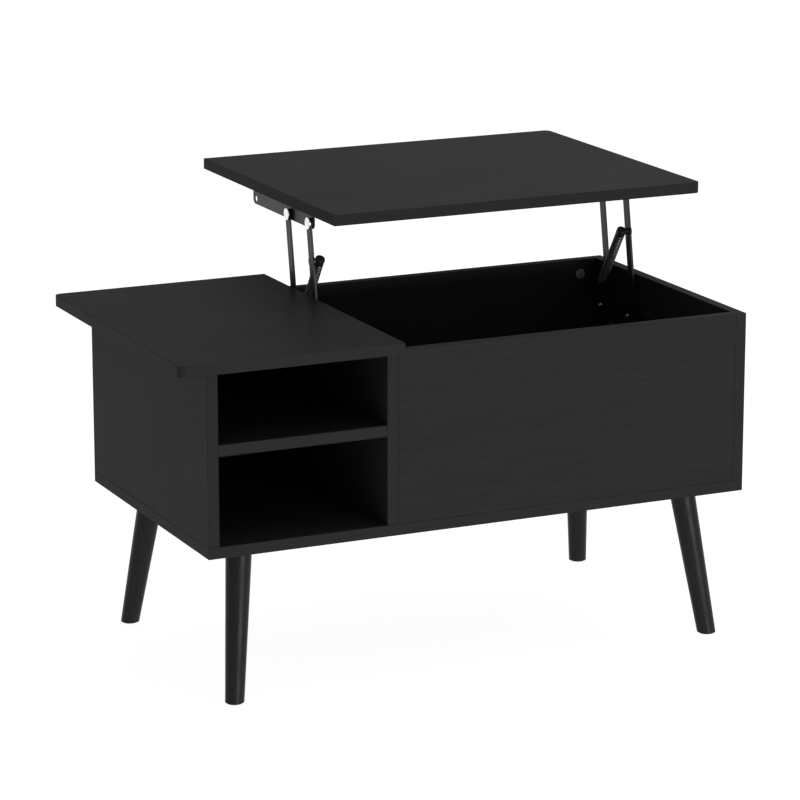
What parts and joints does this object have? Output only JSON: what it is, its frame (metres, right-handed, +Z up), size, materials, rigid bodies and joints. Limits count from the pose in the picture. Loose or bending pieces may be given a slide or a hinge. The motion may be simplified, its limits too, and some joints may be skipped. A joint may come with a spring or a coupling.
{
  "type": "lift top coffee table",
  "caption": "Low table on splayed tapered legs: open shelf bays at one end, a storage box beside them, and a lid that rises level on sprung parallel arms.",
  "frame": {"origin": "on the floor, under the middle of the part's box with the lid raised", "axes": "+Z up; +X from the shelf bays towards the storage box, along the table's length; +Y towards the side that the lid rises to, away from the open fronts of the shelf bays"},
  "size_m": [0.906, 0.7158, 0.6159],
  "materials": {
    "board": "black wood-grain laminate, satin, matching edge band",
    "leg": "turned wood with black satin lacquer",
    "black_steel": "black powder coat",
    "bright_steel": "bright zinc plate",
    "cam_zinc": "dull zinc casting",
    "dowel_wood": "plain beech",
    "nylon": "black nylon",
    "spring_end": "black steel end piece, worn satin",
    "spring_steel": "black coated spring wire"
  },
  "bodies": {
    "root": {"bottom_board": "board", "left_side_panel": "board", "right_side_panel": "board", "divider_panel": "board", "front_panel": "board", "back_panel": "board", "shelf_board": "board", "side_top": "board", "front_left_leg": "leg", "front_right_leg": "leg", "rear_left_leg": "leg", "rear_right_leg": "leg", "leg_plates": "black_steel", "leg_plate_screws": "bright_steel", "hanger_bolts": "bright_steel", "foot_glides": "nylon", "confirmat_screws": "bright_steel", "side_top_dowels": "dowel_wood", "panel_dowels": "dowel_wood", "cam_locks": "cam_zinc", "cam_bolts": "bright_steel", "left_base_plate": "black_steel", "right_base_plate": "black_steel", "base_plate_screws": "bright_steel", "lower_pivot_rivets": "bright_steel", "lower_pivot_spacers": "nylon"},
    "front_arms": {"left_front_arm": "black_steel", "right_front_arm": "black_steel", "upper_spring_posts": "black_steel"},
    "rear_arms": {"left_rear_arm": "black_steel", "right_rear_arm": "black_steel", "lower_spring_posts": "black_steel"},
    "lid": {"lid_top": "board", "left_lid_bracket": "black_steel", "right_lid_bracket": "black_steel", "lid_bracket_screws": "bright_steel", "upper_pivot_rivets": "bright_steel", "upper_pivot_washers": "nylon"},
    "springs": {"left_lift_spring": "spring_steel", "right_lift_spring": "spring_steel"},
    "spring_ends": {"upper_spring_ends": "spring_end"}
  },
  "joints": [
    {"name": "lift", "type": "hinge", "parent": "root", "child": "front_arms", "pos_m": [0.002, -0.05594, 0.37505], "axis": [1, 0, 0], "range_deg": [0, 77.9]},
    {"name": "lid_level", "type": "hinge", "parent": "front_arms", "child": "lid", "pos_m": [0.002, -0.01969, 0.58495], "axis": [1, 0, 0], "range_deg": [-77.9, 0]},
    {"name": "rear_arm_turn", "type": "hinge", "parent": "root", "child": "rear_arms", "pos_m": [0.002, 0.01906, 0.37505], "axis": [1, 0, 0], "range_deg": [0, 77.9]},
    {"name": "spring_turn", "type": "hinge", "parent": "front_arms", "child": "spring_ends", "pos_m": [0.002, -0.02888, 0.53173], "axis": [1, 0, 0], "range_deg": [-33.6, 0]},
    {"name": "spring_stretch", "type": "slide", "parent": "spring_ends", "child": "springs", "axis": [0, 0.553, -0.8332], "range_m": [0, 0.0555], "deforming": ["left_lift_spring", "right_lift_spring"]}
  ],
  "couplings": [
    {"joint": "lid_level", "follows": "lift", "ratio": -1},
    {"joint": "rear_arm_turn", "follows": "lift", "ratio": 1},
    {"joint": "spring_turn", "follows": "lift", "ratio": -0.42989},
    {"joint": "spring_stretch", "follows": "lift", "m_per_rad": 0.040735}
  ]
}
